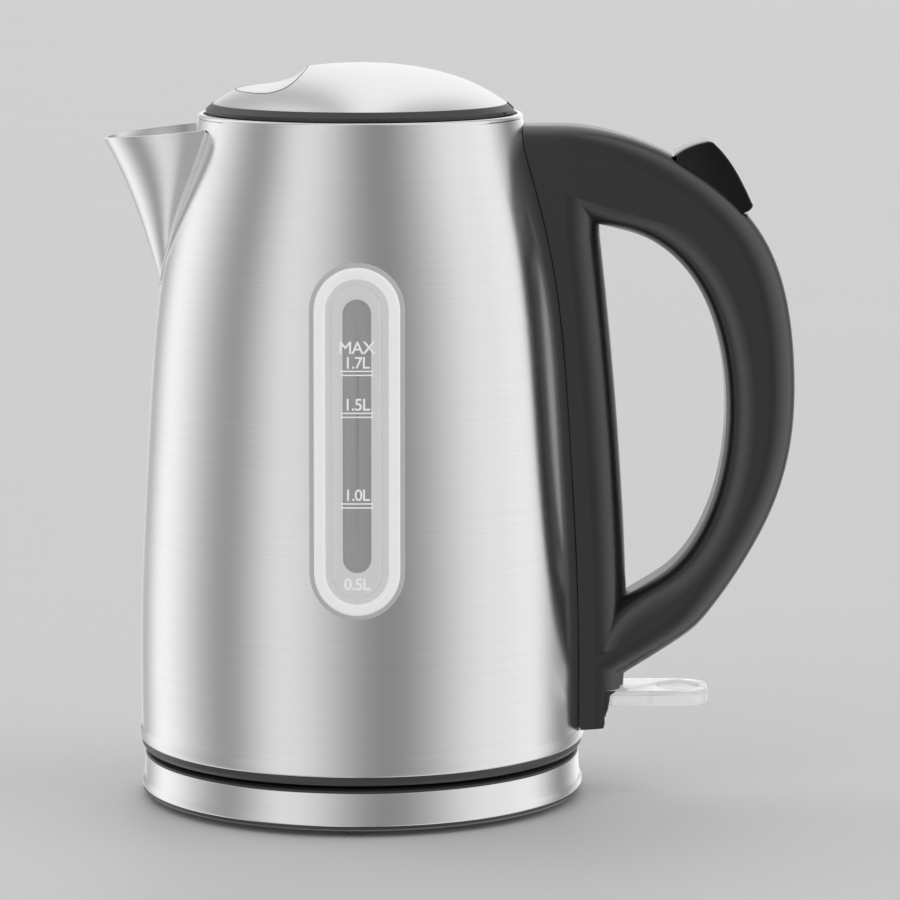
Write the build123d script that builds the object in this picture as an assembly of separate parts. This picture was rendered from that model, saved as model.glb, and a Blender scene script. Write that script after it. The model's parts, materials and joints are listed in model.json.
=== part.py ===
from build123d import *
import math
import os

# Cordless stainless steel jug kettle on its power base, lid shut, switch lever up.
# Millimetres. +Z is up and Z = 0 is the table. The Z axis is the kettle's own axis.
# The spout points to -X, the handle to +X, the water window faces -Y, the cord leaves at +Y.

# ---------------------------------------------------------------- driving dimensions
BEAD_R = 76.4          # rolled bead round the foot of the vessel, the widest round part
SHEET = 0.8            # steel sheet of the vessel, spout and lid

BASE_EDGE_Z = 2.0      # lower edge of the base, above the table
BASE_TOP_Z = 14.6      # top edge of the base's steel trim
DECK_Z = 15.7          # plastic deck that the jug stands on
FOOT_SIZE = (12.0, 5.0)
FOOT_R = 66.0          # radius at which the feet sit

JUG_Z = 17.2           # lowest edge of the jug's plastic bottom ring
VESSEL_Z = 20.2        # lower edge of the steel vessel
PLATE_Z = 53.0         # underside of the heating plate
RIM_Z = 233.2          # top of the vessel's curled rim
# radius of the vessel's outer wall, as (height, radius)
WALL = [(24.0, 75.5), (75.0, 75.0), (125.0, 72.3), (174.0, 68.0), (203.5, 62.1),
        (224.0, 56.6), (232.4, 54.6)]

WINDOW_Z = 130.6       # middle of the water window
WINDOW_HALF = 42.6     # half the straight length of the window
GASKET_R = 15.6        # end radii of the window's nested rounded slots
FRAME_R = 13.9
PANE_R = 10.3
SLOT_R = 4.6

SPOUT_LOW_Z = 180.0    # lowest point of the seam round the spout

HANDLE_HALF = 15.0     # half width of the handle
ARM_ROUND = 9.0        # rounding of the grip's long edges
STRAP_ROUND = 11.5     # rounding of the strap's outer edges
WALL_H = 4.2           # wall left round the handle's inner space

HINGE = (48.0, 233.6)  # lid hinge axis, X and Z
PIN_R = 1.0
RUN = 0.06             # radial running clearance on a pin

LEVER_PIVOT = (79.0, 33.9)
LEVER_END_X = 118.5
LEVER_HALF = 15.0
LEVER_THICK = 4.9

SOCKET_R = 17.5        # 360 degree connector
SOCKET_FLOOR_Z = 7.6
SOCKET_TOP_Z = 19.0
CONNECTOR_Z = 20.2     # underside of the connector's plate
LIVE_R = (12.0, 13.0)  # inner and outer radius of each ring blade
NEUTRAL_R = (8.0, 9.0)
EARTH_R = 3.5
BLADE_CLEAR = 0.4

CORD_R = 3.6           # cord hole in the base


# ---------------------------------------------------------------- helpers
def at(x, y, z, shape):
    return Pos(x, y, z) * shape


def box(x0, x1, y0, y1, z0, z1):
    centre = ((x0 + x1) / 2, (y0 + y1) / 2, (z0 + z1) / 2)
    return at(*centre, Box(x1 - x0, y1 - y0, z1 - z0))


def rod(radius, z0, z1, x=0.0, y=0.0):
    return at(x, y, (z0 + z1) / 2, Cylinder(radius, z1 - z0))


def tube(outer, inner, z0, z1):
    return rod(outer, z0, z1) - rod(inner, z0 - 1, z1 + 1)


def rod_y(radius, y0, y1, x, z):
    return at(x, (y0 + y1) / 2, z, Rot(90, 0, 0) * Cylinder(radius, y1 - y0))


def rod_x(radius, x0, x1, y, z):
    return at((x0 + x1) / 2, y, z, Rot(0, 90, 0) * Cylinder(radius, x1 - x0))


def turned(points):
    """Solid turned about Z from straight-sided (radius, height) points."""
    section = Plane.XZ * make_face(Polyline(*points, close=True))
    return revolve(section, axis=Axis.Z)


def slot_y(half, radius, y0, y1, z=WINDOW_Z):
    """Upright rounded slot, half its straight length and its end radius, run along Y."""
    outline = Rectangle(2 * radius, 2 * half) + Pos(0, half) * Circle(radius)
    outline += Pos(0, -half) * Circle(radius)
    solid = extrude(outline, y1 - y0)
    return at(0, y1, z, Rot(90, 0, 0) * solid)


def side_prism(face, y0, y1):
    """Prism of a face drawn in X and Z, between two Y places."""
    return Pos(0, y1, 0) * extrude(Plane.XZ * face, y1 - y0)


def polar(radius, count, first=0.0):
    for i in range(count):
        angle = math.radians(first + 360.0 * i / count)
        yield radius * math.cos(angle), radius * math.sin(angle)


def wall_solid(offset, z0=VESSEL_Z - 10, z1=RIM_Z + 10):
    """The vessel's round form, grown by an offset and cut to a height range."""
    curve = Spline(*[(r + offset, z) for z, r in WALL])
    top = WALL[-1]
    low = WALL[0]
    outline = curve + Polyline(
        (top[1] + offset, top[0]),
        (top[1] + offset - 1.5, top[0] + 12),
        (0, top[0] + 12),
        (0, low[0] - 14),
        (low[1] + offset, low[0] - 14),
        (low[1] + offset, low[0]),
    )
    body = revolve(Plane.XZ * make_face(outline), axis=Axis.Z)
    return body & box(-120, 120, -120, 120, z0, z1)


def wall_layer(inner, outer, z0=VESSEL_Z - 10, z1=RIM_Z + 10):
    return wall_solid(outer, z0, z1) - wall_solid(inner, z0, z1)


# ---------------------------------------------------------------- power base
def base_trim_ring():
    low = BASE_EDGE_Z + 1.7
    outside = Polyline((74.4, BASE_TOP_Z), (74.6, 9.0), (74.9, 6.4))
    flare = ThreePointArc((74.9, 6.4), (75.7, 4.8), (75.3, low))
    inside = Polyline((75.3, low), (74.4, low), (74.0, 6.4), (73.7, BASE_TOP_Z), (74.4, BASE_TOP_Z))
    ring = revolve(Plane.XZ * make_face(outside + flare + inside), axis=Axis.Z)
    return ring - rod_y(6.3, 60, 80, 0, 8.6)


def base_top_housing():
    skin = turned([
        (73.6, 4.6), (73.6, BASE_TOP_Z + 0.05), (74.2, BASE_TOP_Z + 0.05), (73.9, DECK_Z - 0.5),
        (72.6, DECK_Z), (62.0, DECK_Z), (58.0, 13.4), (26.0, 13.0), (22.0, 14.8), (18.0, 14.8),
        (18.0, 12.6), (26.0, 10.8), (58.0, 11.2), (62.0, 13.2), (71.4, 13.2), (71.4, 4.6),
    ])
    bosses = [rod(3.4, 4.7, 11.6, x, y) for x, y in polar(46, 4, 45)]
    skin += bosses
    pilots = [rod(1.2, 3.0, 10.0, x, y) for x, y in polar(46, 4, 45)]
    skin -= pilots
    return skin - rod_y(4.9, 60, 80, 0, 8.6)


def base_bottom_cover():
    plate = turned([
        (0, BASE_EDGE_Z + 0.6), (70.6, BASE_EDGE_Z + 0.6), (72.0, BASE_EDGE_Z), (74.4, BASE_EDGE_Z),
        (75.3, BASE_EDGE_Z + 0.7), (75.3, BASE_EDGE_Z + 1.6), (72.6, BASE_EDGE_Z + 1.6),
        (72.6, BASE_EDGE_Z + 2.5), (0, BASE_EDGE_Z + 2.5),
    ])
    plate -= [rod(1.7, 1.0, 6.0, x, y) for x, y in polar(46, 4, 45)]
    plate -= [rod(3.3, 1.0, 3.5, x, y) for x, y in polar(46, 4, 45)]
    plate -= [rod(1.5, 1.0, 6.0, x, y) for x, y in polar(38, 12, 15)]
    for x, y in polar(FOOT_R, 4, -90):
        turn = math.degrees(math.atan2(y, x))
        plate -= at(x, y, 2.6, Rot(0, 0, turn) * Box(FOOT_SIZE[0], FOOT_SIZE[1], 1.9))
    return plate


def base_feet():
    """Four rubber feet, long way along the radius, each let into a pocket of the cover."""
    solids = []
    for x, y in polar(FOOT_R, 4, -90):
        turn = math.degrees(math.atan2(y, x))
        pad = Box(FOOT_SIZE[0], FOOT_SIZE[1], 3.5)
        pad = chamfer(pad.edges().group_by(Axis.Z)[0], 0.6)
        pad = fillet(pad.edges().filter_by(Axis.Z), 1.8)
        solids.append(at(x, y, 1.76, Rot(0, 0, turn) * pad))
    return Compound(children=solids)


def screw(x, y, z_head, length, radius=1.15, head_r=2.6, head_h=1.4, up=True):
    """Pan-head screw with a cross recess; its head underside faces up or down."""
    way = 1 if up else -1
    shank = Pos(0, 0, way * length / 2) * Cylinder(radius, length)
    head = Pos(0, 0, -way * head_h / 2) * Cylinder(head_r, head_h)
    recess = Box(2.8, 0.6, 1.4) + Box(0.6, 2.8, 1.4)
    body = head + shank - Pos(0, 0, -way * head_h) * recess
    return at(x, y, z_head, body)


def base_screws():
    return Compound(children=[screw(x, y, 3.5, 6.0) for x, y in polar(46, 4, 45)])


def base_socket():
    """Round cup of the socket, with its floor."""
    well_r = LIVE_R[1] + BLADE_CLEAR
    return turned([
        (0, 5.2), (17.0, 5.2), (17.0, 12.0), (SOCKET_R, 12.0), (SOCKET_R, SOCKET_TOP_Z - 0.8),
        (16.7, SOCKET_TOP_Z), (well_r, SOCKET_TOP_Z), (well_r, SOCKET_FLOOR_Z), (0, SOCKET_FLOOR_Z),
    ])


def socket_divider():
    """Insulating wall between the live and the neutral slot."""
    return tube(LIVE_R[0] - BLADE_CLEAR, NEUTRAL_R[1] + BLADE_CLEAR, SOCKET_FLOOR_Z, SOCKET_TOP_Z)


def socket_core():
    """Middle of the socket, with the hole for the earth pin."""
    core = rod(NEUTRAL_R[0] - BLADE_CLEAR, SOCKET_FLOOR_Z, SOCKET_TOP_Z)
    return core - rod(EARTH_R + BLADE_CLEAR, 9.0, 20)


def ring_contact(radii):
    return tube(radii[1] + 0.3, radii[0] - 0.3, 7.7, 8.8)


def socket_live_contact():
    return ring_contact(LIVE_R)


def socket_neutral_contact():
    return ring_contact(NEUTRAL_R)


def socket_earth_contact():
    return rod(3.2, 9.05, 10.0) - rod(1.2, 8, 11)


def cord_gland():
    body = rod_y(4.6, 60, 76.5, 0, 8.6) + rod_y(6.2, 74.0, 76.5, 0, 8.6)
    body += rod_y(5.8, 66.0, 70.8, 0, 8.6) & box(-20, 20, 50, 90, 4.6, 13.1)
    body &= box(-20, 20, 50, 90, 4.6, 14.5)
    return body - rod_y(CORD_R, 50, 80, 0, 8.6)


def cord_clamp():
    bar = box(-9, 9, 52.0, 57.0, 4.6, 6.6) + rod(2.6, 4.6, 8.8, -6.4, 54.5) + rod(2.6, 4.6, 8.8, 6.4, 54.5)
    return bar - rod_y(CORD_R, 48, 60, 0, 9.2)


# ---------------------------------------------------------------- coupler under the jug
def jug_connector():
    top = CONNECTOR_Z + 3.2
    return turned([
        (EARTH_R, CONNECTOR_Z), (19.4, CONNECTOR_Z), (19.4, top - 1.0), (18.0, top), (EARTH_R, top),
    ])


def connector_live_ring():
    return tube(LIVE_R[1], LIVE_R[0], 9.3, CONNECTOR_Z)


def connector_neutral_ring():
    return tube(NEUTRAL_R[1], NEUTRAL_R[0], 9.3, CONNECTOR_Z)


def connector_earth_pin():
    pin = rod(EARTH_R, 10.6, 23.4)
    return chamfer(pin.edges().group_by(Axis.Z)[0], 1.2)


# ---------------------------------------------------------------- vessel
def bead_ring():
    """Rolled bead at the vessel's foot, standing a little proud of the wall."""
    outline = Polyline((75.5, 24.4), (74.7, 24.4), (74.7, VESSEL_Z), (75.6, VESSEL_Z))
    bulge = ThreePointArc((75.6, VESSEL_Z), (BEAD_R, VESSEL_Z + 1.7), (75.5, 24.4))
    return revolve(Plane.XZ * make_face(outline + bulge), axis=Axis.Z)


def rim_curl():
    """Top edge of the vessel, curled inwards."""
    out_r = WALL[-1][1]
    outline = Polyline((out_r, 231.6), (52.9, 231.6), (52.9, RIM_Z - 0.2), (53.1, RIM_Z), (53.8, RIM_Z))
    curl = ThreePointArc((53.8, RIM_Z), (54.4, RIM_Z - 0.35), (out_r, 231.6))
    return revolve(Plane.XZ * make_face(outline + curl), axis=Axis.Z)


def spout_outline(grow=0.0, top=236.0):
    """V-shaped opening of the spout, drawn in Y and Z as (half width, height) up one side."""
    side = [(24.2, 229.5), (22.0, 219.0), (18.5, 206.0), (15.0, 197.0), (10.0, 189.0)]
    right = [(w + grow, z) for w, z in side]
    left = [(-w, z) for w, z in reversed(right)]
    nose = (0, SPOUT_LOW_Z + 4.0 - grow)
    vee = Spline(*right, nose, *left)
    lid = Polyline(left[-1], (left[-1][0], top), (right[0][0], top), right[0])
    return make_face(vee + lid)


def spout_prism(grow, x0, x1, top=236.0):
    """The V outline run along X."""
    return Pos(x0, 0, 0) * extrude(Plane.YZ * spout_outline(grow, top), x1 - x0)


def vessel_body():
    wall = wall_layer(-SHEET, 0, VESSEL_Z + 0.6, WALL[-1][0])
    wall += bead_ring()
    wall += rim_curl()
    wall -= slot_y(WINDOW_HALF, PANE_R + 1.4, -90, -40)
    mouth = spout_prism(-4.5, -90, -40, 236) & box(-90, -40, -30, 30, 180, 226.4)
    wall -= mouth
    wall -= box(40, 90, -4.6, 4.6, 214.2, 219.6)      # latch slider
    wall -= rod_x(4.0, 40, 90, 0, 207.0)              # steam outlet at the top of the strap
    wall -= box(60, 90, -4.6, 4.6, 38.5, 47.0)        # steam inlet to the control
    wall -= box(60, 90, -7.5, 7.5, 27.0, 37.0)        # switch lever
    screw_holes = [rod_x(1.6, 40, 90, y, z) for y, z in HANDLE_SCREWS]
    return wall - screw_holes


def spout_section(z, nose_x, side_x, half):
    """Level section of the spout: half an ellipse, closed well inside the vessel."""
    back_x = -40.0
    nose = EllipticalCenterArc((side_x, 0), side_x - nose_x, half, start_angle=90, arc_size=180)
    back = Polyline((side_x, -half), (back_x, -half), (back_x, half), (side_x, half))
    return Pos(0, 0, z) * make_face(nose + back)


# sections of the spout from its root up: height, nose X, X where its sides begin, half width
SPOUT_SECTIONS = [
    (177.0, -67.3, -64.0, 2.0),
    (192.0, -72.1, -64.6, 9.2),
    (208.0, -77.9, -61.5, 16.7),
    (218.0, -82.4, -60.0, 19.3),
    (232.0, -91.6, -58.0, 21.6),
]


def spout_form(thin=0.0):
    """Lofted spout; thin moves its walls inwards by the sheet."""
    return loft([spout_section(z, nose_x + thin, side_x, half - thin)
                 for z, nose_x, side_x, half in SPOUT_SECTIONS])


def spout():
    above = Polyline((-110, 222.8), (-30, 230.8), (-30, 260), (-110, 260), close=True)
    cut_top = side_prism(make_face(above), -60, 60)
    cone = spout_form() - spout_form(SHEET) - wall_solid(0.01)
    cone -= cut_top
    flange = wall_layer(0.01, 0.7, 176, 229.6) & spout_prism(3.6, -90, -40)
    flange -= spout_prism(-3.4, -90, -40)
    body = cone + flange
    return max(body.solids(), key=lambda solid: solid.volume)


def rim_collar():
    """Plastic ring inside the rim that carries the lid's hinge knuckle."""
    ring = turned([(50.2, 222.0), (55.8, 222.0), (53.8, 231.4), (52.4, 231.4), (50.2, 229.4)])
    ring -= box(46.0, 53.0, -21, 21, 229.1, 240)
    knuckle = rod_y(1.9, -5.0, 5.0, *HINGE) + box(46.3, 50.2, -5, 5, 224.0, HINGE[1])
    knuckle += box(48.0, 51.5, -5, 5, 224.0, 229.0)
    knuckle -= rod_y(PIN_R + RUN, -6, 6, *HINGE)
    ring += knuckle
    return ring - box(-60, -40, -15, 15, 215, 227.4)


def heating_plate():
    disc = rod(73.8, PLATE_Z, PLATE_Z + 1.2) + tube(74.15, 73.0, PLATE_Z - 6, PLATE_Z + 1.2)
    return fillet(disc.edges().group_by(Axis.Z)[-1], 0.9)


def heating_element():
    """Sheathed heater bent to most of a ring under the plate, with its two cold tails."""
    ring = Rot(0, 0, 200) * revolve(Plane.XZ * (Pos(50, 0) * Circle(3.6)), axis=Axis.Z, revolution_arc=320)
    ring = Pos(0, 0, PLATE_Z - 3.7) * ring
    tails = []
    for angle in (200, 160):
        x = 50 * math.cos(math.radians(angle))
        y = 50 * math.sin(math.radians(angle))
        tails.append(at(x, y, PLATE_Z - 9.5, Cylinder(2.6, 12)))
    return ring + tails


def control_unit():
    body = rod(24.0, 24.4, 44.0)
    body += box(20, 52, -9, 9, 27.0, 43.0)
    body += tube(27.5, 24.0, 30, 33)
    body += box(-42, -20, -12, 12, 27.0, 39.0)
    return body + [rod(1.9, 43.9, PLATE_Z, x, y) for x, y in polar(16, 3, 30)]


def bimetal_disc():
    disc = rod_x(8.0, 55.0, 55.6, 0, 41.0) - rod_x(1.5, 54, 57, 0, 41.0)
    post = rod_x(1.5, 52.0, 57.0, 0, 41.0)
    return disc + post


def jug_bottom_cover():
    """Plastic dish that closes the jug below; its dark edge shows under the steel bead."""
    dish = turned([
        (21.0, 20.4), (24.0, 16.0), (62.5, 16.0), (63.4, 16.5), (69.0, 16.5), (70.2, 18.0),
        (71.6, 18.0), (72.4, JUG_Z), (74.6, JUG_Z), (75.4, JUG_Z + 1.2), (75.4, VESSEL_Z - 0.05),
        (74.4, VESSEL_Z - 0.05), (74.4, 26.0), (72.8, 26.0), (72.8, 20.4), (62.0, 18.4),
        (25.4, 18.4), (23.2, 22.4), (21.0, 22.4),
    ])
    dish += [rod(3.6, 18.2, 27.0, x, y) for x, y in polar(56, 3, 45)]
    dish -= [rod(1.7, 10, 30.0, x, y) for x, y in polar(56, 3, 45)]
    dish -= [rod(3.2, 10, 17.6, x, y) for x, y in polar(56, 3, 45)]
    return dish


def bottom_screws():
    return Compound(children=[screw(x, y, 17.6, 14.0) for x, y in polar(56, 3, 45)])


# ---------------------------------------------------------------- water window
def window_gasket():
    ring = slot_y(WINDOW_HALF, GASKET_R, -90, -40) - slot_y(WINDOW_HALF, FRAME_R, -90, -40)
    return ring & wall_layer(0.0, 0.8, 60, 200)


def window_frame():
    proud = slot_y(WINDOW_HALF, FRAME_R, -90, -40) & wall_layer(0.0, 2.0, 60, 200)
    neck = slot_y(WINDOW_HALF, PANE_R + 1.35, -90, -40) & wall_layer(-2.4, 0.1, 60, 200)
    return proud + neck - slot_y(WINDOW_HALF, PANE_R, -95, -35)


def window_pane():
    pane = slot_y(WINDOW_HALF, PANE_R, -90, -40) & wall_layer(-2.2, 0.4, 60, 200)
    rib = slot_y(WINDOW_HALF, SLOT_R, -90, -40) & wall_layer(0.3, 1.1, 60, 200)
    return pane + rib


def window_retainer():
    """Clamp ring on the inside of the vessel, behind the pane."""
    ring = slot_y(WINDOW_HALF, FRAME_R + 1.0, -90, -40) - slot_y(WINDOW_HALF, PANE_R - 2.5, -95, -35)
    flat = ring & wall_layer(-4.4, -2.45, 60, 200)
    lip = slot_y(WINDOW_HALF, FRAME_R + 1.0, -90, -40) - slot_y(WINDOW_HALF, PANE_R + 1.4, -95, -35)
    return flat + (lip & wall_layer(-2.5, -SHEET - 0.02, 60, 200))


# ---------------------------------------------------------------- scale filter
def filter_region(grow):
    return spout_prism(-4.5 + grow, -90, -40, 236) & box(-90, -40, -40, 40, 180, 219.8 + grow)


def filter_frame():
    ring = filter_region(1.6) - filter_region(-2.0)
    bars = box(-90, -40, -0.9, 0.9, 186, 222) & filter_region(0.5)
    bars += box(-90, -40, -20, 20, 204, 205.6) & filter_region(0.5)
    return (ring + bars) & wall_layer(-3.6, -SHEET - 0.04, 170, 224)


def filter_mesh():
    return (filter_region(-0.6) & wall_layer(-4.1, -3.62, 170, 224))


# ---------------------------------------------------------------- handle
HANDLE_SCREWS = [(0.0, 196.0), (-8.0, 60.0), (8.0, 60.0)]    # places of the screws, Y and Z


def grip_back():
    """Outer line of the handle from the vessel's shoulder round to the foot of the grip."""
    return Spline(
        (66.0, 229.3), (91.0, 225.2), (117.0, 211.8), (136.3, 191.4), (147.0, 148.0),
        (139.8, 98.7), (118.0, 62.6), (90.4, 42.4), tangents=[(1, 0), (-1, -0.62)],
    )


def grip_front():
    """Inner line of the grip, run on inside the strap at both ends."""
    return Spline(
        (62.0, 208.5), (79.5, 196.2), (95.1, 191.9), (111.0, 179.3), (121.5, 155.6), (124.0, 130.0),
        (118.8, 100.0), (104.6, 78.0), (91.2, 69.4), (76.0, 48.0),
    )


def grip_face():
    back = grip_back()
    front = grip_front()
    top = Polyline(front @ 0, (50.0, 212.0), (50.0, 229.3), back @ 0)
    low = Polyline(back @ 1, (70.0, 29.8), (60.0, 42.0), front @ 1)
    return make_face(back + front + top + low)


def strap_edge(inset=0.0):
    """Line of the strap's outer side, along the finger gap."""
    return Spline((81.0 - inset, 192.0), (86.4 - inset, 138.0), (90.4 - inset, 72.0), (91.0 - inset, 34.0))


def strap_face(inset, low, high):
    """Side view of the strap that lies along the vessel, between two heights."""
    edge = strap_edge(inset)
    rest = Polyline(edge @ 1, (91.0 - inset, low), (50.0, low), (50.0, high), (80.0 - inset, high), edge @ 0)
    return make_face(edge + rest)


def foot_cut():
    """Stepped outline of the strap's foot, as the space outside it."""
    outside = Polyline((89.6, 42.4), (89.4, 37.8), (85.2, 36.8), (84.2, 30.6), (82.6, 24.2), (75.0, 23.7),
                       (60.0, 23.7), (60.0, 10.0), (130.0, 10.0), (130.0, 42.4), close=True)
    return side_prism(make_face(outside), -30, 30)


def strap_solid():
    prism = side_prism(strap_face(0.0, 15.0, 214.0), -HANDLE_HALF, HANDLE_HALF)
    outer = [e for e in prism.edges() if abs(abs(e.center().Y) - HANDLE_HALF) < 0.01 and e.center().X > 79]
    return fillet(outer, STRAP_ROUND) - foot_cut()


def grip_solid():
    prism = side_prism(grip_face(), -HANDLE_HALF, HANDLE_HALF)
    outer = [e for e in prism.edges() if abs(abs(e.center().Y) - HANDLE_HALF) < 0.01 and e.length > 60]
    return fillet(outer, ARM_ROUND)


def handle_space():
    """Inner space of the strap and of the handle's shoulder."""
    inner = HANDLE_HALF - WALL_H
    strap = side_prism(strap_face(WALL_H + 1.0, 27.5, 213.0), -inner, inner)
    shoulder = Polyline((50, 211.6), (66, 211.6), (88.0, 202.0), (104.0, 196.0), (117.0, 196.5),
                        (118.0, 202.5), (104.0, 216.4), (92.0, 220.4), (78.0, 223.4), (50, 224.6), close=True)
    head = side_prism(make_face(shoulder), -9.0, 9.0)
    outer = Spline((114.0, 201.0), (131.0, 186.0), (140.6, 148.0), (134.0, 104.0), (115.0, 72.0))
    inner = Spline((108.0, 79.0), (123.5, 99.0), (130.2, 134.0), (124.5, 168.0), (112.0, 190.0))
    ends = Polyline(outer @ 1, inner @ 0) + Polyline(inner @ 1, outer @ 0)
    grip = side_prism(make_face(outer + inner + ends), -8.6, 8.6)
    return strap + head + grip


def button_axis():
    """Place the button's frame: local Z points out of the handle's shoulder."""
    return Plane(origin=(119.2, 0, 210.0), x_dir=(0.777, 0, -0.63), z_dir=(0.63, 0, 0.777))


def button_well(grow):
    frame = button_axis()
    return frame * (Pos(-0.4, 0, -2) * Box(31.8 + 2 * grow, 19.6 + 2 * grow, 22.0))


def handle_shell():
    body = grip_solid() + strap_solid()
    body -= wall_solid(0.12)
    body -= handle_space()
    body -= button_well(0.35) & box(90, 140, -20, 20, 196.5, 240)
    body -= lever_space()
    body -= rod_y(1.5, -13.6, 13.6, *LEVER_PIVOT)
    body -= rod(BEAD_R - 0.2, 10.0, 24.6)
    body += box(79.4, 81.2, -9.1, 9.1, 207.0, 222.5) - box(75, 85, -3.8, 3.8, 215.0, 218.0)
    return max(body.solids(), key=lambda solid: solid.volume)


def handle_inner_cover():
    """Liner that closes the strap towards the vessel."""
    inner = HANDLE_HALF - WALL_H - 0.05
    plate = wall_layer(0.15, 1.1, 50.0, 204.0) & box(40, 90, -inner, inner, 20, 230)
    for y, z in HANDLE_SCREWS:
        plate += box(40, 90, y - 2.7, y + 2.7, z - 4, z + 4) & wall_layer(0.15, 4.0, z - 4, z + 4)
    return plate - [rod_x(1.15, 40, 95, y, z) for y, z in HANDLE_SCREWS]


def handle_screws():
    """Screws driven from inside the vessel into the handle's liner."""
    solids = []
    for y, z in HANDLE_SCREWS:
        wall_x = math.sqrt(wall_radius(z) ** 2 - y ** 2)
        head = rod_x(2.6, wall_x - SHEET - 2.6, wall_x - SHEET - 1.1, y, z)
        shank = rod_x(1.1, wall_x - SHEET - 1.2, wall_x + 3.6, y, z)
        solids.append(head + shank)
    return Compound(children=solids)


def wall_radius(z):
    """Radius of the vessel's wall at a height."""
    curve = Spline(*[(r, h) for h, r in WALL])
    low = 0.0
    high = 1.0
    while high - low > 1e-4:
        middle = (low + high) / 2
        if (curve @ middle).Y < z:
            low = middle
        else:
            high = middle
    return (curve @ low).X


def steam_duct():
    outer = wall_layer(1.3, 5.2, 38.0, 189.0) & box(40, 95, -5.0, 5.0, 20, 230)
    bore = wall_layer(2.1, 4.4, 30.0, 190.0) & box(40, 95, -4.2, 4.2, 20, 230)
    port = box(60, 78.0, -3.6, 3.6, 39.0, 45.0)
    return outer - (bore & box(0, 100, -10, 10, 39.0, 200)) - port


# ---------------------------------------------------------------- lid
LID_DOME = [(0.0, 249.9), (20.8, 248.2), (39.7, 242.4), (49.6, 236.5)]


def dome_solid(drop):
    curve = Spline(*[(r, z - drop) for r, z in LID_DOME], tangents=[(1, 0), (0.82, -0.57)])
    rim = LID_DOME[-1]
    outline = curve + Polyline((rim[0], rim[1] - drop), (rim[0], 228), (0, 228), (0, LID_DOME[0][1] - drop))
    return revolve(Plane.XZ * make_face(outline), axis=Axis.Z)


def thumb_scoop(drop):
    """Thumb recess on the spout side of the lid, a curved step cut straight across."""
    step = Spline((-34.0, 241.3), (-25.3, 242.8), (-20.6, 245.8), (-16.0, 250.4), tangents=[(1, 0), (0.6, 0.8)])
    rest = Polyline(step @ 1, (-16.0, 270.0), (-60.0, 270.0), (-60.0, 241.3), step @ 0)
    return Pos(0.75 * drop, 0, -drop) * side_prism(make_face(step + rest), -45, 45)


def lid_shell():
    sheet = dome_solid(0) - thumb_scoop(0)
    hollow = dome_solid(SHEET) - thumb_scoop(SHEET)
    shell = sheet - hollow
    return shell & box(-60, 60, -60, 60, 236.45, 260)


def lid_ring():
    """Plastic ring under the steel dome, with its bevelled edge showing all round."""
    ring = turned([
        (46.0, 229.6), (49.0, 229.6), (49.0, 233.4), (52.0, 233.4), (52.1, 234.6), (50.2, 236.4),
        (48.0, 236.4), (46.0, 235.6),
    ])
    lugs = box(43.5, 48.9, -13.0, 13.0, 229.6, 235.4)
    ring += lugs & rod(48.95, 220, 240)
    ring -= box(40, 60, -5.3, 5.3, 220, 240)
    ring -= rod_y(PIN_R, -20, 20, *HINGE)
    return ring - rod_y(2.3, -10.3, -5.2, *HINGE)


def lid_inner_cover():
    dish = turned([
        (0, 220.0), (44.0, 220.0), (45.8, 221.6), (45.8, 230.0), (44.4, 230.0), (44.4, 222.6),
        (42.6, 221.4), (0, 221.4),
    ])
    catch = box(43.6, 45.2, -5.0, 5.0, 213.4, 222.0)
    dish += catch + tube(45.8, 43.4, 229.5, 233.0)
    return dish - box(42, 60, -13.2, 13.2, 229.3, 240)


def lid_seal():
    seal = tube(49.8, 45.85, 226.2, 227.2) + tube(47.2, 45.85, 225.0, 228.4)
    return seal - box(40, 60, -5.4, 5.4, 220, 230)


def lid_hinge_pin():
    return rod_y(PIN_R, -12.5, 12.5, *HINGE)


def lid_spring():
    """Torsion spring on the hinge pin."""
    coil = Helix(pitch=0.85, height=4.2, radius=1.55)
    wire = sweep((Plane(origin=coil @ 0, z_dir=coil % 0) * Circle(0.3)), path=coil)
    return at(HINGE[0], -5.7, HINGE[1], Rot(90, 0, 0) * wire)


# ---------------------------------------------------------------- lid release
def lid_button():
    """Wedge-shaped push button on the handle's shoulder."""
    wedge = Polyline((106.4, 219.6), (117.0, 224.1), (118.6, 223.8), (124.9, 216.4), (131.9, 203.6),
                     (132.5, 202.2), (130.9, 200.6), (124.0, 205.2), (114.0, 203.6), (105.4, 210.8), close=True)
    body = side_prism(make_face(wedge), -9.8, 9.8)
    body &= button_well(0.0) + box(90, 140, -9.8, 9.8, 206, 240)
    stem = button_axis() * (Pos(-3.0, 0, -9.0) * Box(6.0, 9.0, 9.0))
    return body + stem


def latch_slider():
    """Bar that runs from under the button to the lid's catch."""
    bar = box(46.0, 96.0, -3.4, 3.4, 215.4, 217.6)
    bar += box(95.5, 98.5, -6.4, 6.4, 203.0, 215.9)
    bar += box(95.5, 100.4, -4.4, 4.4, 203.0, 205.4)
    bar += box(63.0, 65.0, -5.4, 5.4, 213.6, 219.4)
    return bar


def latch_spring():
    """Compression spring round the latch slider, against the vessel's wall."""
    coil = Helix(pitch=2.6, height=13.0, radius=4.6)
    wire = sweep((Plane(origin=coil @ 0, z_dir=coil % 0) * Circle(0.4)), path=coil)
    return at(65.5, 0, 216.5, Rot(0, 90, 0) * wire)


# ---------------------------------------------------------------- switch
def lever_space():
    """Room for the lever to swing in the foot of the strap."""
    room = box(66, 100, -11.0, 11.0, 25.8, 38.4)
    mouth = box(83.0, 95, -LEVER_HALF - 5, LEVER_HALF + 5, 26.0, 37.2)
    return room + mouth


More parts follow.
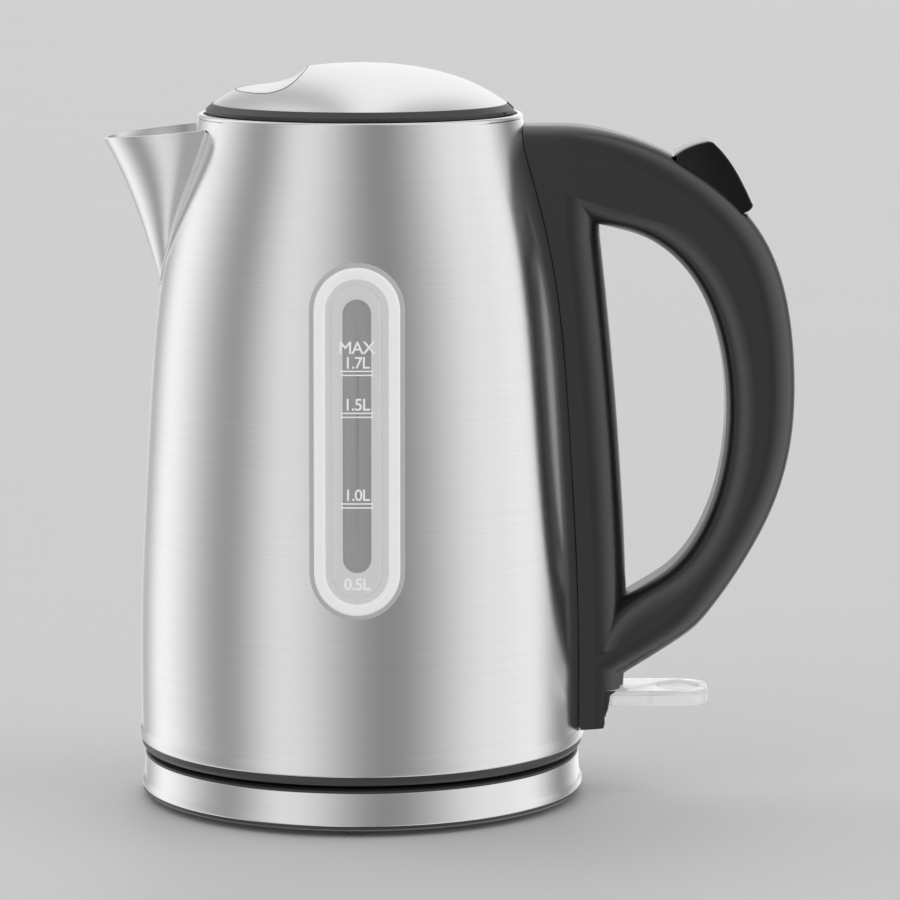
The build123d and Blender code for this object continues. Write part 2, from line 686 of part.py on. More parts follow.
def switch_lever():
    """Clear paddle with an oval finger dish, its hub and the arm that works the control."""
    z1 = 36.3
    z0 = z1 - LEVER_THICK
    paddle = box(87.5, LEVER_END_X, -LEVER_HALF, LEVER_HALF, z0, z1)
    corners = paddle.edges().filter_by(Axis.Z).group_by(Axis.X)[-1]
    paddle = fillet(corners, 11.0)
    rim = paddle.edges().group_by(Axis.Z)
    paddle = fillet(rim[-1] + rim[0], 1.1)
    dish = Pos(108.0, 0, z1 + 0.2) * Box(15.0, 19.0, 1.8)
    dish = fillet(dish.edges().filter_by(Axis.Z), 7.0)
    paddle -= dish
    neck = box(78.0, 90.0, -9.6, 9.6, z0 + 0.3, z1 - 0.6)
    hub = rod_y(3.2, -9.6, 9.6, *LEVER_PIVOT)
    arm = box(58.0, 79.0, -3.0, 3.0, 32.6, 35.0)
    return paddle + neck + hub + arm - rod_y(1.5 + RUN, -20, 20, *LEVER_PIVOT)


def switch_pin():
    return rod_y(1.5, -13.6, 13.6, *LEVER_PIVOT)


def switch_housing():
    """Bearing frame for the lever inside the strap's foot."""
    sides = box(74.8, 83.6, 10.0, 10.95, 27.6, 38.3) + box(74.8, 83.6, -10.95, -10.0, 27.6, 38.3)
    tie = box(75.8, 79.0, -10.95, 10.95, 25.9, 27.8)
    return sides + tie - rod_y(1.5, -20, 20, *LEVER_PIVOT) - wall_solid(0.2)


def indicator_lamp():
    """Neon lamp over the lever's arm that lights the clear paddle."""
    bulb = rod_x(1.9, 56.0, 66.0, 6.6, 30.0)
    return fillet(bulb.edges(), 0.7)


# ---------------------------------------------------------------- output
NODES = [
    base_trim_ring, base_top_housing, base_bottom_cover, base_feet, base_screws, base_socket,
    socket_divider, socket_core,
    socket_live_contact, socket_neutral_contact, socket_earth_contact, cord_gland, cord_clamp,
    jug_connector, connector_live_ring, connector_neutral_ring, connector_earth_pin,
    vessel_body, spout, rim_collar, heating_plate, heating_element, control_unit, bimetal_disc,
    jug_bottom_cover, bottom_screws, window_gasket, window_frame, window_pane, window_retainer,
    filter_frame, filter_mesh, handle_shell, handle_inner_cover, handle_screws, steam_duct,
    lid_shell, lid_ring, lid_inner_cover, lid_seal, lid_hinge_pin, lid_spring,
    lid_button, latch_slider, latch_spring,
    switch_lever, switch_pin, switch_housing, indicator_lamp,
]

os.makedirs("parts", exist_ok=True)
for make in NODES:
    export_step(make(), "parts/" + make.__name__ + ".step")
    print("made", make.__name__, flush=True)
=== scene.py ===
import json
import math

import bmesh
import bpy
import numpy as np
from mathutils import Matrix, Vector
from mathutils.bvhtree import BVHTree


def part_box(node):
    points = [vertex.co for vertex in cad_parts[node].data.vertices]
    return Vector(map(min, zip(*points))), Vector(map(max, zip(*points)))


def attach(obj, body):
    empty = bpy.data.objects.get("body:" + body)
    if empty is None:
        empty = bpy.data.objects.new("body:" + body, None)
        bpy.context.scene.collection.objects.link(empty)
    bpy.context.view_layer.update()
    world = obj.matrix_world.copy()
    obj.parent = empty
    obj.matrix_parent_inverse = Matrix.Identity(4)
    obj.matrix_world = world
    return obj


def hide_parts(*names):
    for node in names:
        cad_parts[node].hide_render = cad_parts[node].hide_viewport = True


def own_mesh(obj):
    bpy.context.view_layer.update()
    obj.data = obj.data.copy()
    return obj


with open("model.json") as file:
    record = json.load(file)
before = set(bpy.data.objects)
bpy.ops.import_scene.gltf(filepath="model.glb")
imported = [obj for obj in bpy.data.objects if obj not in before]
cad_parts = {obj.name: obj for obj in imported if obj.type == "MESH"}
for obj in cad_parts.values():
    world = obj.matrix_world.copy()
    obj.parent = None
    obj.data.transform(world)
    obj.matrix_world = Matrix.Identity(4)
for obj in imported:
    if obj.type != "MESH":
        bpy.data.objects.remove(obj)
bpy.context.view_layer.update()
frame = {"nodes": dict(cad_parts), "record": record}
NODES = frame["nodes"]
scene = bpy.context.scene
MM = 0.001


# ---------------------------------------------------------------- camera
CAMERA_AZIMUTH = math.radians(1.1)
CAMERA_RANGE = 1.5492
CAMERA_HEIGHT = 0.3382
CAMERA_PITCH = math.radians(8.09)
CAMERA_YAW = math.radians(0.02)
LENS = 183.4


def make_camera():
    data = bpy.data.cameras.new("camera")
    data.lens = LENS
    data.sensor_width = 36.0
    data.clip_end = 50.0
    camera = bpy.data.objects.new("camera", data)
    scene.collection.objects.link(camera)
    camera.location = (
        CAMERA_RANGE * math.sin(CAMERA_AZIMUTH),
        -CAMERA_RANGE * math.cos(CAMERA_AZIMUTH),
        CAMERA_HEIGHT,
    )
    camera.rotation_euler = (math.pi / 2 - CAMERA_PITCH, 0, -CAMERA_YAW)
    scene.camera = camera


# ---------------------------------------------------------------- materials
class Nodes:
    """Short way to add linked shader nodes to a material."""

    def __init__(self, name):
        self.material = bpy.data.materials.new(name)
        self.material.use_nodes = True
        self.tree = self.material.node_tree
        self.shader = self.tree.nodes["Principled BSDF"]

    def add(self, kind, inputs=None, **settings):
        node = self.tree.nodes.new(kind)
        for key, value in settings.items():
            setattr(node, key, value)
        for key, value in (inputs or {}).items():
            self.put(node, key, value)
        return node

    def put(self, node, key, value):
        if isinstance(value, bpy.types.NodeSocket):
            self.tree.links.new(value, node.inputs[key])
        else:
            node.inputs[key].default_value = value

    def set(self, **values):
        for key, value in values.items():
            self.put(self.shader, key.replace("_", " "), value)

    def coords(self, scale):
        place = self.add("ShaderNodeTexCoord")
        mapping = self.add("ShaderNodeMapping", {"Vector": place.outputs["Object"], "Scale": scale})
        return mapping.outputs["Vector"]

    def noise(self, scale, size, detail=4.0, roughness=0.5):
        vector = self.coords(scale)
        node = self.add("ShaderNodeTexNoise", {
            "Vector": vector, "Scale": size, "Detail": detail, "Roughness": roughness})
        return node.outputs["Fac"]

    def ramp(self, value, low, high, stops=(0.35, 0.65)):
        node = self.add("ShaderNodeMapRange", {
            "Value": value, "From Min": stops[0], "From Max": stops[1], "To Min": low, "To Max": high})
        return node.outputs["Result"]

    def mix(self, value, low, high):
        node = self.add("ShaderNodeMix", data_type="RGBA")
        self.put(node, "Factor", value)
        node.inputs["A"].default_value = low
        node.inputs["B"].default_value = high
        return node.outputs["Result"]

    def bump(self, height, strength, distance):
        node = self.add("ShaderNodeBump", {"Height": height, "Strength": strength, "Distance": distance})
        return node.outputs["Normal"]


def grey(value, alpha=1.0):
    return (value, value, value, alpha)


def brushed_steel(name, level, roughness):
    """Sheet steel brushed round the axis: long fine scratches, stretched highlights."""
    m = Nodes(name)
    scratches = m.noise((6.0, 6.0, 1500.0), 1.0, 6.0, 0.7)
    cloud = m.noise((1.0, 1.0, 1.0), 14.0, 3.0)
    m.set(Metallic=1.0, Anisotropic=0.85, Anisotropic_Rotation=0.25)
    m.put(m.shader, "Base Color", m.mix(scratches, grey(level * 0.94), grey(level * 1.04)))
    m.put(m.shader, "Roughness", m.ramp(cloud, roughness - 0.02, roughness + 0.02))
    m.put(m.shader, "Normal", m.bump(scratches, 0.06, 0.0004))
    tangent = m.add("ShaderNodeTangent", direction_type="RADIAL", axis="Z")
    m.put(m.shader, "Tangent", tangent.outputs["Tangent"])
    return m.material


def moulded_plastic(name, color, roughness, grain=0.05, grain_size=2400.0, specular=0.5, painted_glow=0.0):
    """Moulded plastic with a fine spark-eroded grain, and an optional painted glow."""
    m = Nodes(name)
    fine = m.noise((1.0, 1.0, 1.0), grain_size, 2.0)
    cloud = m.noise((1.0, 1.0, 1.0), 30.0, 3.0)
    m.put(m.shader, "Base Color", m.mix(cloud, tuple(c * 0.93 for c in color[:3]) + (1,), color))
    m.put(m.shader, "Roughness", m.ramp(cloud, roughness - 0.02, roughness + 0.03))
    m.put(m.shader, "Specular IOR Level", specular)
    m.put(m.shader, "Normal", m.bump(fine, grain, 0.0002))
    if painted_glow:
        # painted glow: the plastic emits light of its own, though it is no lamp
        m.put(m.shader, "Emission Color", color)
        m.put(m.shader, "Emission Strength", painted_glow)
    return m.material


def clear_plastic(name, tint, roughness, clear, painted_glow):
    m = Nodes(name)
    flow = m.noise((1.0, 1.0, 0.3), 60.0, 2.0)
    m.put(m.shader, "Base Color", m.mix(flow, tuple(c * 0.97 for c in tint[:3]) + (1,), tint))
    m.put(m.shader, "Roughness", m.ramp(flow, roughness, roughness + 0.03))
    m.set(IOR=1.49, Transmission_Weight=clear)
    # painted glow: the clear plastic emits light of its own, though it is no lamp
    m.put(m.shader, "Emission Color", tint)
    m.put(m.shader, "Emission Strength", painted_glow)
    m.put(m.shader, "Normal", m.bump(flow, 0.05, 0.0003))
    return m.material


def satin_steel(name, level, roughness):
    """Pressed sheet steel with an even satin finish."""
    m = Nodes(name)
    fine = m.noise((1.0, 1.0, 1.0), 900.0, 4.0)
    cloud = m.noise((1.0, 1.0, 1.0), 20.0, 3.0)
    m.set(Metallic=1.0)
    m.put(m.shader, "Base Color", m.mix(fine, grey(level * 0.97), grey(level * 1.02)))
    m.put(m.shader, "Roughness", m.ramp(cloud, roughness - 0.02, roughness + 0.02))
    m.put(m.shader, "Normal", m.bump(fine, 0.02, 0.0002))
    return m.material


def bare_metal(name, color, roughness):
    m = Nodes(name)
    cloud = m.noise((1.0, 1.0, 1.0), 120.0, 4.0)
    m.set(Metallic=1.0)
    m.put(m.shader, "Base Color", m.mix(cloud, tuple(c * 0.85 for c in color[:3]) + (1,), color))
    m.put(m.shader, "Roughness", m.ramp(cloud, roughness - 0.05, roughness + 0.08))
    m.put(m.shader, "Normal", m.bump(cloud, 0.05, 0.0002))
    return m.material


def dress(obj, material):
    obj.data.materials.clear()
    obj.data.materials.append(material)


# ---------------------------------------------------------------- stage and light
# The studio is a ring of tall soft panels with gaps between them: where each panel or gap has
# its middle, in degrees round the kettle (0 towards the camera, positive to the right), and
# its brightness.
STUDIO = [
    (-180, 1.05), (-156, 0.52), (-126, 1.13), (-74, 0.38), (-40, 0.89), (14, 0.30),
    (74, 0.95), (100, 1.04), (131, 0.32), (165, 1.05), (180, 1.05),
]
FLOOR_SIZE = 40.0


def make_stage():
    s = FLOOR_SIZE
    mesh = bpy.data.meshes.new("floor")
    mesh.from_pydata([(-s, -s, 0), (s, -s, 0), (s, s, 0), (-s, s, 0)], [], [(0, 1, 2, 3)])
    floor = bpy.data.objects.new("floor", mesh)
    scene.collection.objects.link(floor)
    floor.visible_glossy = False
    m = Nodes("floor_paint")
    cloud = m.noise((1.0, 1.0, 1.0), 3.0, 3.0)
    m.put(m.shader, "Base Color", m.mix(cloud, grey(0.80), grey(0.83)))
    m.set(Roughness=0.6)
    dress(floor, m.material)


def make_light():
    """Soft light all round from the studio's panels, and a plain pale backdrop."""
    world = bpy.data.worlds.new("world")
    scene.world = world
    world.use_nodes = True
    tree = world.node_tree

    def math_node(operation, first, second):
        node = tree.nodes.new("ShaderNodeMath")
        node.operation = operation
        for socket, value in zip(node.inputs, (first, second)):
            if isinstance(value, bpy.types.NodeSocket):
                tree.links.new(value, socket)
            else:
                socket.default_value = value
        return node.outputs["Value"]

    place = tree.nodes.new("ShaderNodeTexCoord")
    parts = tree.nodes.new("ShaderNodeSeparateXYZ")
    tree.links.new(place.outputs["Generated"], parts.inputs["Vector"])
    toward = math_node("MULTIPLY", parts.outputs["Y"], -1.0)
    turn = math_node("ARCTAN2", parts.outputs["X"], toward)
    share = math_node("MULTIPLY_ADD", turn, 1 / (2 * math.pi))
    share.node.inputs[2].default_value = 0.5
    ramp = tree.nodes.new("ShaderNodeValToRGB")
    ramp.color_ramp.interpolation = "EASE"
    stops = ramp.color_ramp.elements
    for angle, level in STUDIO[1:-1]:
        stops.new((angle + 180) / 360).color = grey(level)
    stops[0].color = grey(STUDIO[0][1])
    stops[-1].color = grey(STUDIO[-1][1])
    tree.links.new(share, ramp.inputs["Fac"])
    back = tree.nodes["Background"]
    tree.links.new(ramp.outputs["Color"], back.inputs["Color"])
    plain = tree.nodes.new("ShaderNodeBackground")
    plain.inputs["Color"].default_value = grey(0.72)
    ray = tree.nodes.new("ShaderNodeLightPath")
    mix = tree.nodes.new("ShaderNodeMixShader")
    tree.links.new(ray.outputs["Is Camera Ray"], mix.inputs["Fac"])
    tree.links.new(back.outputs["Background"], mix.inputs[1])
    tree.links.new(plain.outputs["Background"], mix.inputs[2])
    tree.links.new(mix.outputs["Shader"], tree.nodes["World Output"].inputs["Surface"])
    scene.view_settings.view_transform = "Standard"
    scene.cycles.use_denoising = True


# ---------------------------------------------------------------- shaping helpers
def add_object(name, mesh, material, body):
    obj = bpy.data.objects.new(name, mesh)
    scene.collection.objects.link(obj)
    mesh.materials.clear()
    mesh.materials.append(material)
    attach(obj, body)
    return obj


def mesh_of(name, points, faces):
    """Closed or open mesh with its faces turned outwards."""
    mesh = bpy.data.meshes.new(name)
    build = bmesh.new()
    corners = [build.verts.new(p) for p in points]
    for face in faces:
        build.faces.new([corners[i] for i in face])
    bmesh.ops.remove_doubles(build, verts=build.verts, dist=1e-7)
    bmesh.ops.recalc_face_normals(build, faces=build.faces)
    build.to_mesh(mesh)
    build.free()
    return mesh


def smooth(mesh, angle=30.0):
    for face in mesh.polygons:
        face.use_smooth = True
    mesh.set_sharp_from_angle(angle=math.radians(angle))


def apply_modifiers(obj):
    """Replaces the object's mesh with its final shape and drops its modifiers."""
    bpy.context.view_layer.update()
    final = bpy.data.meshes.new_from_object(obj.evaluated_get(bpy.context.evaluated_depsgraph_get()))
    obj.modifiers.clear()
    obj.data = final


def cut(obj, mesh):
    """Takes a closed mesh away from the object."""
    tool = bpy.data.objects.new("tool", mesh)
    scene.collection.objects.link(tool)
    change = obj.modifiers.new("cut", "BOOLEAN")
    change.operation = "DIFFERENCE"
    change.solver = "EXACT"
    change.object = tool
    apply_modifiers(obj)
    bpy.data.objects.remove(tool)


def bevel(obj, width, segments=3, angle=30.0):
    change = obj.modifiers.new("bevel", "BEVEL")
    change.width = width
    change.segments = segments
    change.limit_method = "ANGLE"
    change.angle_limit = math.radians(angle)
    change.use_clamp_overlap = True
    apply_modifiers(obj)


def mm(pairs, u=0.0, v=0.0):
    """Pairs given in millimetres from (u, v), in metres."""
    return [(u + a * MM, v + b * MM) for a, b in pairs]


def circle(u, v, half_u, half_v, steps):
    """Closed oval of (u, v) points."""
    turns = [2 * math.pi * k / steps for k in range(steps)]
    return [(u + half_u * math.cos(t), v + half_v * math.sin(t)) for t in turns]


def arc(start, middle, end, steps=8):
    """Points of the circular arc through three (u, v) points, both ends kept."""
    (ax, ay), (bx, by), (cx, cy) = start, middle, end
    d = 2 * (ax * (by - cy) + bx * (cy - ay) + cx * (ay - by))
    a2, b2, c2 = ax * ax + ay * ay, bx * bx + by * by, cx * cx + cy * cy
    ux = (a2 * (by - cy) + b2 * (cy - ay) + c2 * (ay - by)) / d
    uy = (a2 * (cx - bx) + b2 * (ax - cx) + c2 * (bx - ax)) / d
    radius = math.hypot(ax - ux, ay - uy)
    first = math.atan2(ay - uy, ax - ux)
    mid = math.atan2(by - uy, bx - ux)
    last = math.atan2(cy - uy, cx - ux)
    sweep = (last - first) % (2 * math.pi)
    if (mid - first) % (2 * math.pi) > sweep:
        sweep -= 2 * math.pi
    turns = [first + sweep * i / steps for i in range(steps + 1)]
    return [(ux + radius * math.cos(t), uy + radius * math.sin(t)) for t in turns]


def curve_through(points, steps=10):
    """Smooth open curve through the points."""
    out = []
    for i in range(len(points) - 1):
        p1, p2 = Vector(points[i]), Vector(points[i + 1])
        p0 = Vector(points[i - 1]) if i else p1 * 2 - p2
        p3 = Vector(points[i + 2]) if i + 2 < len(points) else p2 * 2 - p1
        for k in range(steps):
            t = k / steps
            out.append(tuple(0.5 * (2 * p1 + (p2 - p0) * t + (2 * p0 - 5 * p1 + 4 * p2 - p3) * t * t
                                    + (3 * p1 - p0 - 3 * p2 + p3) * t ** 3)))
    return out + [tuple(points[-1])]


LATHE_STEPS = 200
SOFT_PRESS = 0.18


def lathe_mesh(name, outline):
    """Mesh turned about Z from a closed outline of (radius, height) points."""
    rows = [p for i, p in enumerate(outline) if math.dist(p, outline[i - 1]) > 1e-6]
    points = []
    for radius, z in rows:
        for k in range(LATHE_STEPS):
            turn = 2 * math.pi * k / LATHE_STEPS
            points.append((radius * math.cos(turn), radius * math.sin(turn), z))
    faces = []
    n = LATHE_STEPS
    for i in range(len(rows)):
        j = (i + 1) % len(rows)
        for k in range(n):
            m = (k + 1) % n
            faces.append((i * n + k, i * n + m, j * n + m, j * n + k))
    return mesh_of(name, points, faces)


def turned_normals(mesh, outline, angle=30.0, calm=None):
    """Exact normals on the faces that still lie on the turned form, smooth ones by angle elsewhere.

    Between the two heights of calm the form is only softly pressed, so its normals tip less."""
    smooth(mesh, angle)
    rows = np.array([p for i, p in enumerate(outline) if math.dist(p, outline[i - 1]) > 1e-6])
    ahead = np.roll(rows, -1, axis=0) - rows
    side = np.stack([ahead[:, 1], -ahead[:, 0]], axis=1)
    side /= np.linalg.norm(side, axis=1)[:, None]
    area = np.sum(rows[:, 0] * np.roll(rows[:, 1], -1) - np.roll(rows[:, 0], -1) * rows[:, 1])
    if area < 0:
        side = -side
    corner_smooth = np.sum(side * np.roll(side, 1, axis=0), axis=1) > math.cos(math.radians(angle))
    joint = side + np.roll(side, 1, axis=0)
    joint /= np.linalg.norm(joint, axis=1)[:, None]
    start = np.where(corner_smooth[:, None], joint, side)
    following = np.roll(corner_smooth, -1)
    end = np.where(following[:, None], np.roll(joint, -1, axis=0), side)
    normals = [Vector(c.vector) for c in mesh.corner_normals]
    length = np.linalg.norm(ahead, axis=1)
    for face in mesh.polygons:
        centre = face.center
        flat = math.hypot(centre.x, centre.y)
        if flat < 1e-6:
            continue
        radial = (face.normal.x * centre.x + face.normal.y * centre.y) / flat
        gap = np.array([flat, centre.z]) - rows
        along = np.clip(np.sum(gap * ahead, axis=1) / length ** 2, 0, 1)
        miss = np.linalg.norm(gap - along[:, None] * ahead, axis=1)
        match = side @ np.array([radial, face.normal.z])
        miss = np.where(match > 0.97, miss, 1.0)
        best = int(np.argmin(miss))
        if miss[best] > 2.5e-4:
            continue
        for loop in face.loop_indices:
            point = mesh.vertices[mesh.loops[loop].vertex_index].co
            r = math.hypot(point.x, point.y)
            t = np.dot(np.array([r, point.z]) - rows[best], ahead[best]) / length[best] ** 2
            t = min(max(float(t), 0.0), 1.0)
            n = start[best] * (1 - t) + end[best] * t
            if calm and calm[0] <= centre.z <= calm[1]:
                n = np.array([n[0], n[1] * SOFT_PRESS])
            normals[loop] = Vector((n[0] * point.x / r, n[0] * point.y / r, n[1])).normalized()
    mesh.normals_split_custom_set(normals)


def prism_y(name, outline, y0, y1):
    """Closed prism of an (X, Z) outline between two Y places."""
    n = len(outline)
    points = [(x, y0, z) for x, z in outline] + [(x, y1, z) for x, z in outline]
    faces = [tuple(range(n)), tuple(range(n, 2 * n))]
    faces += [(i, (i + 1) % n, n + (i + 1) % n, n + i) for i in range(n)]
    return mesh_of(name, points, faces)


# ---------------------------------------------------------------- the vessel's wall
def tree_of(obj):
    mesh = obj.data
    points = [v.co.copy() for v in mesh.vertices]
    return BVHTree.FromPolygons(points, [list(f.vertices) for f in mesh.polygons])


VESSEL_LOW, VESSEL_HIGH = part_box("vessel_body")
FOOT_Z = VESSEL_LOW.z
RIM_Z = VESSEL_HIGH.z
BEAD_R = VESSEL_HIGH.y
SHEET = 0.8 * MM
BEAD_TOP = FOOT_Z + 4.2 * MM
CURL_LOW = RIM_Z - 1.6 * MM


def fit_wall():
    """Radius of the wall as a smooth function of height, read from the plain back of the vessel."""
    tree = tree_of(NODES["vessel_body"])
    heights = np.linspace(BEAD_TOP + 1 * MM, CURL_LOW - 1 * MM, 90)
    radii = []
    for z in heights:
        hit = tree.ray_cast(Vector((0, 0.3, float(z))), Vector((0, -1, 0)))[0]
        radii.append(hit.y)
    middle = (heights[0] + heights[-1]) / 2
    half = (heights[-1] - heights[0]) / 2
    fit = np.polynomial.Polynomial.fit(heights, radii, 7, domain=[middle - half, middle + half])
    print("wall fit, worst miss in mm:", round(float(np.max(np.abs(fit(heights) - radii))) / MM, 3))
    return fit


WALL = fit_wall()


def wall_r(z):
    return float(WALL(z))


def wall_normal(x, z):
    """Outward normal of the front wall at that X and Z."""
    r = wall_r(z)
    slope = float(WALL.deriv()(z))
    y = -math.sqrt(r * r - x * x)
    return Vector((x / r, y / r, -slope)).normalized()


def wall_point(x, z, lift=0.0):
    """Point of the front wall at that X and Z, lifted off it."""
    r = wall_r(z)
    return Vector((x, -math.sqrt(r * r - x * x), z)) + wall_normal(x, z) * lift


def vessel_outline():
    bead = arc((BEAD_R - 0.8 * MM, FOOT_Z), (BEAD_R, FOOT_Z + 1.7 * MM), (wall_r(BEAD_TOP), BEAD_TOP), 10)
    wall = [(wall_r(z), z) for z in np.linspace(BEAD_TOP, CURL_LOW, 70)[1:]]
    top_r = wall[-1][0]
    crest = top_r - 0.8 * MM
    curl = arc(wall[-1], (top_r - 0.2 * MM, RIM_Z - 0.35 * MM), (crest, RIM_Z), 8)[1:]
    mouth_r = crest - 0.9 * MM
    curl += arc(*mm([(-0.6, 0), (-0.82, -0.08), (-0.9, -0.3)], crest, RIM_Z), 4)
    inside = [(mouth_r, CURL_LOW - 1 * MM)]
    inside += [(wall_r(z) - SHEET, float(z)) for z in np.linspace(CURL_LOW - 1 * MM, BEAD_TOP, 50)]
    inside += [(wall_r(BEAD_TOP) - SHEET, FOOT_Z + 0.6 * MM), (BEAD_R - 1.7 * MM, FOOT_Z)]
    return [(float(r), float(z)) for r, z in bead + wall + curl + inside]


WINDOW_LOW, WINDOW_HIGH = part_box("window_frame")
WINDOW_Z = (WINDOW_LOW.z + WINDOW_HIGH.z) / 2
FRAME_R = (WINDOW_HIGH.x - WINDOW_LOW.x) / 2
WINDOW_HALF = (WINDOW_HIGH.z - WINDOW_LOW.z) / 2 - FRAME_R
GASKET_R = (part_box("window_gasket")[1].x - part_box("window_gasket")[0].x) / 2
PANE_R = FRAME_R - 3.6 * MM
RIB_R = 8.1 * MM
SLOT_R = 4.6 * MM
# how much the sight slot is shorter than its surround, at its lower and its upper end
SLOT_RAISE = 4.7 * MM
SLOT_DROP = 0.9 * MM


def slot_outline(half, radius, arc_steps=24, line_steps=24):
    """Points round an upright rounded slot about (0, 0)."""
    ring = []
    for side, start in ((1, 0.0), (-1, math.pi)):
        for i in range(arc_steps):
            angle = start + math.pi * i / arc_steps
            ring.append((radius * math.cos(angle), side * half + radius * math.sin(angle)))
        for i in range(line_steps):
            ring.append((-side * radius, side * half * (1 - 2 * i / line_steps)))
    return ring


def make_vessel():
    outline = vessel_outline()
    body = add_object("vessel_skin", lathe_mesh("vessel_skin", outline), FINISH["steel"], "jug")
    hole = [(x, WINDOW_Z + z) for x, z in slot_outline(WINDOW_HALF, PANE_R + 1.3 * MM, 24, 4)]
    cut(body, prism_y("hole", hole, -0.12, -0.03))
    cut(body, mouth_mesh())
    turned_normals(body.data, outline, calm=(FOOT_Z + 0.5 * MM, BEAD_TOP + 1 * MM))
    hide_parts("vessel_body")


# ---------------------------------------------------------------- spout
SPOUT_LOW, SPOUT_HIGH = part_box("spout")
TIP_X = SPOUT_LOW.x
ROOT_Z = SPOUT_LOW.z + 0.6 * MM
# level sections of the spout: height, X of the nose, X where its sides begin, half width
SPOUT_SECTIONS = [
    (177.0, -67.3, -64.0, 2.0), (192.0, -72.1, -64.6, 9.2), (208.0, -77.9, -61.5, 16.7),
    (218.0, -82.4, -60.0, 19.3), (232.0, -90.6, -58.0, 21.6),
]


NOSE_POINT = 1.18


def section_at(z):
    """The spout's section at a height, by smooth interpolation, in metres."""
    heights = np.array([s[0] for s in SPOUT_SECTIONS]) * MM
    values = np.array([s[1:] for s in SPOUT_SECTIONS]) * MM
    return [float(np.polynomial.Polynomial.fit(heights, values[:, i], 3)(z)) for i in range(3)]


def nose_curve(nose, side, half, angle):
    """Point (X, Y) of the spout's level section, a half oval that comes to a soft point."""
    x = side + (nose - side) * math.sin(angle) ** NOSE_POINT
    return x, half * max(math.cos(angle), 0.0) ** NOSE_POINT


def spout_side(z, t):
    """Point of the spout's +Y half at a height; t is 0 where it leaves the wall and 1 at the nose."""
    nose, side, half = section_at(z)
    r = wall_r(z)
    lead = 0.0
    flat_x = -math.sqrt(max(r * r - half * half, 0.0))
    if flat_x < side:
        low, high = 0.0, math.pi / 2
        for _ in range(40):
            lead = (low + high) / 2
            x, y = nose_curve(nose, side, half, lead)
            if x * x + y * y < r * r:
                low = lead
            else:
                high = lead
        flat = 0.0
    else:
        flat = flat_x - side
    turn_length = (side - nose + half) * 0.8 * (1 - lead / (math.pi / 2))
    total = flat + turn_length
    if t * total < flat:
        return Vector((flat_x - t * total, half, z))
    share = (t * total - flat) / turn_length
    angle = lead + (math.pi / 2 - lead) * share
    return Vector((*nose_curve(nose, side, half, angle), z))


def mouth_z(x):
    """Height of the spout's brim, which droops a little at the very tip."""
    brim = 222.8 * MM + 0.1 * (x + 110 * MM)
    near = max(0.0, 1 - (x - TIP_X) / (5.0 * MM))
    return brim - 0.7 * MM * near * near


def seam_height(t):
    return ROOT_Z + (228.5 * MM - ROOT_Z) * t ** 1.5


def mouth_mesh():
    """Closed form of the opening in the wall behind the spout."""
    side = [(18.6, 225.6), (16.6, 219.0), (13.4, 206.0), (9.8, 197.0), (5.0, 189.0), (0.0, 187.0)]
    up = curve_through([(y * MM, z * MM) for y, z in side], 4)
    outline = up + [(-y, z) for y, z in reversed(up[:-1])]
    n = len(outline)
    points = [(-0.09, y, z) for y, z in outline] + [(-0.04, y, z) for y, z in outline]
    faces = [tuple(range(n)), tuple(range(n, 2 * n))]
    faces += [(i, (i + 1) % n, n + (i + 1) % n, n + i) for i in range(n)]
    return mesh_of("mouth", points, faces)


def make_spout():
    """Folded sheet of the spout: its cone, the flare at the wall and the flange on the wall."""
    rows, columns = 46, 28
    grid = []
    for i in range(rows + 1):
        line = []
        for j in range(-columns, columns + 1):
            t = 1 - abs(j) / columns
            way = 1 if j >= 0 else -1
            top = 226.0 * MM
            for _ in range(12):
                p = spout_side(top, t)
                top = mouth_z(p.x)
            z = ROOT_Z + (top - ROOT_Z) * (i / rows) ** 1.25
            p = spout_side(z, t)
            line.append(Vector((p.x, way * p.y, p.z)))
        grid.append(line)
    width = 2 * columns + 1
    points = [p for line in grid for p in line]
    faces = []
    for i in range(rows):
        for j in range(width - 1):
            a = i * width + j
            faces.append((a, a + 1, a + width + 1, a + width))
    cone = mesh_of("spout_cone", points, faces)
    obj = add_object("spout_cone", cone, FINISH["steel"], "jug")
    shell = obj.modifiers.new("sheet", "SOLIDIFY")
    shell.thickness = SHEET
    shell.offset = -1.0
    shell.use_even_offset = False
    apply_modifiers(obj)
    smooth(obj.data, 50)
    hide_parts("spout")
    make_flange()


def round_wall(p, lift):
    """The point moved level to stand that far off the wall."""
    r = wall_r(p.z) + lift
    flat = math.hypot(p.x, p.y)
    return Vector((p.x * r / flat, p.y * r / flat, p.z))


